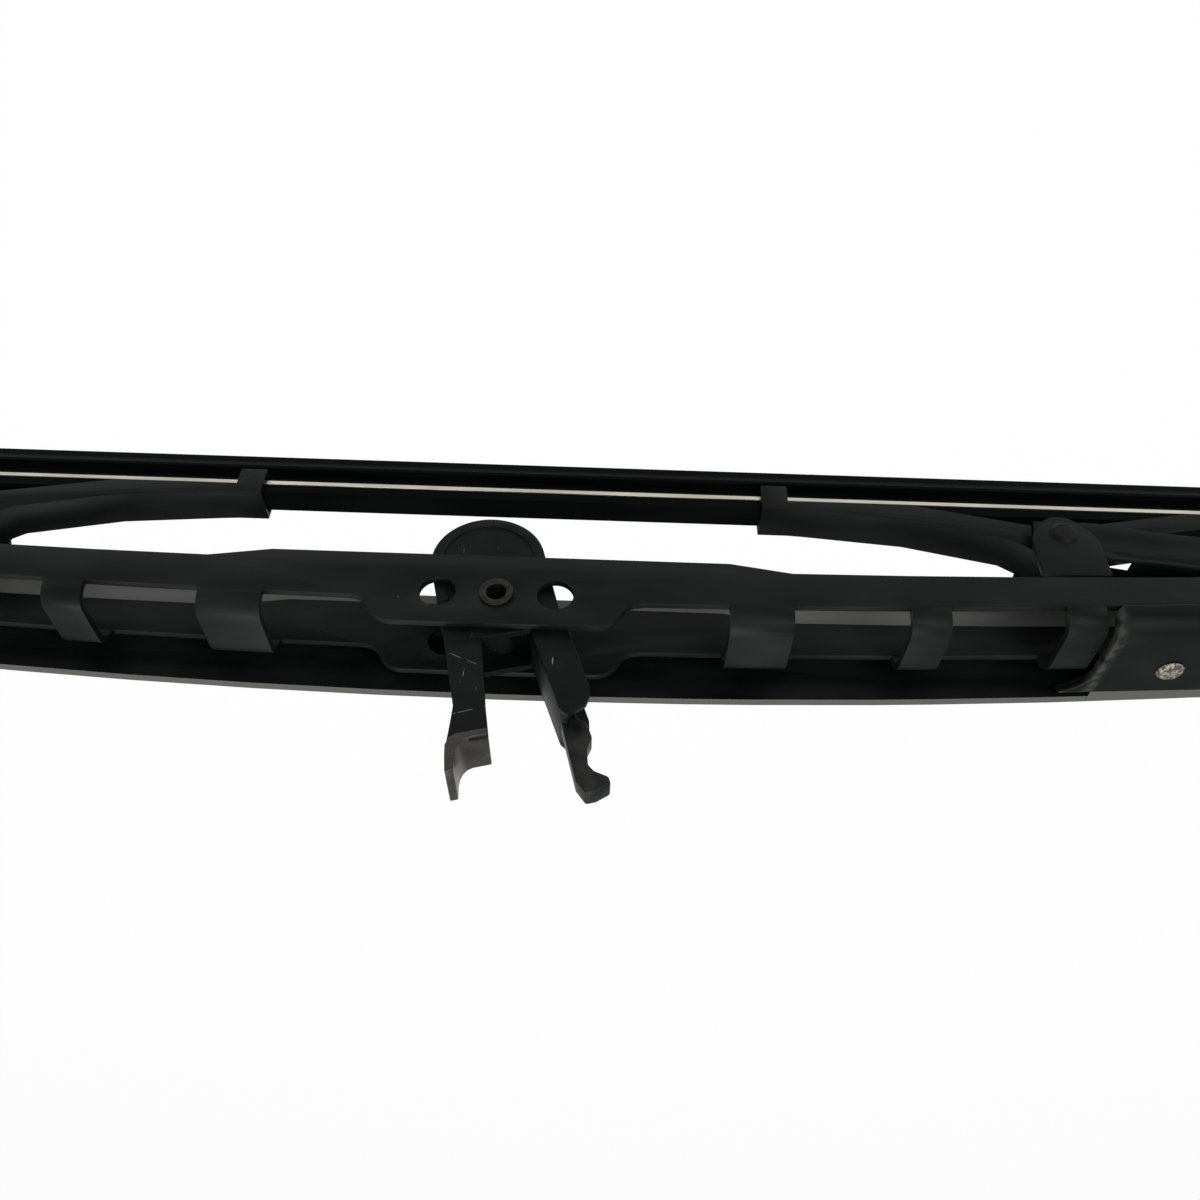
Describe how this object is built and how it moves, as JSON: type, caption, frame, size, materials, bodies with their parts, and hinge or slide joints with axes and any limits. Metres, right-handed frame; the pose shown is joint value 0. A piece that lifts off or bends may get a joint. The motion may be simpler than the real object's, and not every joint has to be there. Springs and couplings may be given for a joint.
{
  "type": "wiper blade",
  "caption": "Heavy duty windscreen wiper blade: bowed pressed yoke with windows, wind deflector, hinged hook adapter, and a linkage of smaller yokes whose claws hold a rubber strip on steel flexors.",
  "frame": {"origin": "middle of the hollow pivot tube that carries the adapter", "axes": "+X along the blade, +Y along the pivot tube away from the viewer of the front wall, +Z away from the windscreen"},
  "size_m": [0.9, 0.0282, 0.0907],
  "materials": {
    "yoke_paint": "satin",
    "deflector_paint": "satin",
    "adapter_paint": "satin",
    "rivet_steel": "satin",
    "bare_rivet": "rough",
    "bush_plastic": "matte",
    "rubber": "matte",
    "flexor_steel": "satin"
  },
  "bodies": {
    "yoke_frame": {"main_yoke": "yoke_paint", "pivot_tube": "rivet_steel", "deflector": "deflector_paint", "deflector_rivet_left": "bare_rivet", "deflector_rivet_right": "bare_rivet", "secondary_rivet_left": "rivet_steel", "secondary_rivet_right": "rivet_steel", "rubber_blade": "rubber", "flexor_front": "flexor_steel", "flexor_rear": "flexor_steel"},
    "adapter": {"adapter_body": "adapter_paint", "adapter_latch": "adapter_paint"},
    "secondary_right": {"secondary_yoke_right": "yoke_paint", "secondary_bush_right": "bush_plastic", "claw_rivet_right_inner": "rivet_steel", "claw_rivet_right_outer": "rivet_steel"},
    "claws_right_inner": {"claw_yoke_right_inner": "yoke_paint", "claw_bush_right_inner": "bush_plastic"},
    "claws_right_outer": {"claw_yoke_right_outer": "yoke_paint", "claw_bush_right_outer": "bush_plastic"},
    "secondary_left": {"secondary_yoke_left": "yoke_paint", "secondary_bush_left": "bush_plastic", "claw_rivet_left_inner": "rivet_steel", "claw_rivet_left_outer": "rivet_steel"},
    "claws_left_inner": {"claw_yoke_left_inner": "yoke_paint", "claw_bush_left_inner": "bush_plastic"},
    "claws_left_outer": {"claw_yoke_left_outer": "yoke_paint", "claw_bush_left_outer": "bush_plastic"}
  },
  "joints": [
    {"name": "secondary_right_flex", "type": "hinge", "parent": "yoke_frame", "child": "secondary_right", "pos_m": [0.246, 0, -0.0147], "axis": [0, 1, 0], "range_deg": [0, 3], "stiffness_Nm_per_rad": 2, "deforming": ["rubber_blade", "flexor_front", "flexor_rear"]},
    {"name": "claws_right_inner_flex", "type": "hinge", "parent": "secondary_right", "child": "claws_right_inner", "pos_m": [0.122, 0, -0.024], "axis": [0, 1, 0], "range_deg": [-1.6, 0], "stiffness_Nm_per_rad": 2, "deforming": ["rubber_blade", "flexor_front", "flexor_rear"]},
    {"name": "claws_right_outer_flex", "type": "hinge", "parent": "secondary_right", "child": "claws_right_outer", "pos_m": [0.37, 0, -0.024], "axis": [0, 1, 0], "range_deg": [0, 1.6], "stiffness_Nm_per_rad": 2, "deforming": ["rubber_blade", "flexor_front", "flexor_rear"]},
    {"name": "secondary_left_flex", "type": "hinge", "parent": "yoke_frame", "child": "secondary_left", "pos_m": [-0.246, 0, -0.0147], "axis": [0, 1, 0], "range_deg": [-3, 0], "stiffness_Nm_per_rad": 2, "deforming": ["rubber_blade", "flexor_front", "flexor_rear"]},
    {"name": "claws_left_inner_flex", "type": "hinge", "parent": "secondary_left", "child": "claws_left_inner", "pos_m": [-0.122, 0, -0.024], "axis": [0, 1, 0], "range_deg": [0, 1.6], "stiffness_Nm_per_rad": 2, "deforming": ["rubber_blade", "flexor_front", "flexor_rear"]},
    {"name": "claws_left_outer_flex", "type": "hinge", "parent": "secondary_left", "child": "claws_left_outer", "pos_m": [-0.37, 0, -0.024], "axis": [0, 1, 0], "range_deg": [-1.6, 0], "stiffness_Nm_per_rad": 2, "deforming": ["rubber_blade", "flexor_front", "flexor_rear"]},
    {"name": "adapter_swing", "type": "hinge", "parent": "yoke_frame", "child": "adapter", "pos_m": [0, 0, 0], "axis": [0, 1, 0], "range_deg": [-30, 60]}
  ],
  "couplings": [
    {"joint": "claws_right_inner_flex", "follows": "secondary_right_flex", "ratio": -0.50407},
    {"joint": "claws_right_outer_flex", "follows": "secondary_right_flex", "ratio": 0.50407},
    {"joint": "claws_left_inner_flex", "follows": "secondary_right_flex", "ratio": 0.50407},
    {"joint": "claws_left_outer_flex", "follows": "secondary_right_flex", "ratio": -0.50407},
    {"joint": "secondary_left_flex", "follows": "secondary_right_flex", "ratio": -1}
  ]
}
